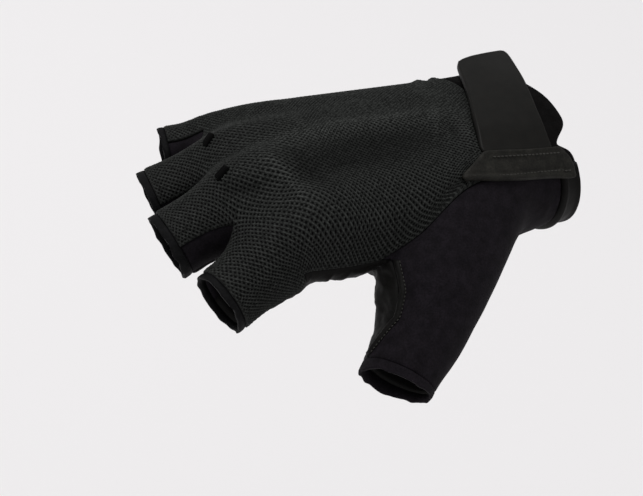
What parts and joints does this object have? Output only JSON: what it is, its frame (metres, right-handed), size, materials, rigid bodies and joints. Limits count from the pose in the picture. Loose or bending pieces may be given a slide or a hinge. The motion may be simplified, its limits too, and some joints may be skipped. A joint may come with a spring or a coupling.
{
  "type": "cycling glove",
  "caption": "Short-finger cycling glove for the right hand, with a knitted mesh back, leather palm, stretch thumb and a wrist strap that closes on a loop pad.",
  "frame": {"origin": "centre of the wrist joint, inside the wrist opening", "axes": "+X out of the wrist opening along the forearm, +Y towards the little finger, +Z out of the back of the hand"},
  "size_m": [0.1615, 0.1372, 0.0817],
  "materials": {
    "knit_mesh": "open polyester warp knit, matte",
    "palm_leather": "synthetic suede leather, matte",
    "stretch_knit": "brushed polyamide and elastane jersey, matte",
    "loop_fabric": "brushed loop fabric of the hook and loop closure",
    "edge_binding": "folded synthetic leather edging",
    "hem_tape": "turned and stitched hem",
    "strap_tpu": "moulded TPU, satin",
    "seam_tape": "narrow woven tape"
  },
  "bodies": {
    "root": {"back_panel": "knit_mesh", "palm_panel": "palm_leather", "thumb_panel": "stretch_knit", "gusset_index_middle": "stretch_knit", "gusset_middle_ring": "stretch_knit", "gusset_ring_little": "stretch_knit", "loop_pad": "loop_fabric", "wrist_binding": "edge_binding", "hem_index": "hem_tape", "hem_middle": "hem_tape", "hem_ring": "hem_tape", "hem_little": "hem_tape", "hem_thumb": "hem_tape", "strap_patch": "palm_leather", "strap": "strap_tpu", "thumb_seam": "palm_leather", "web_tab_middle_ring": "seam_tape", "web_tab_ring_little": "seam_tape"}
  },
  "joints": []
}
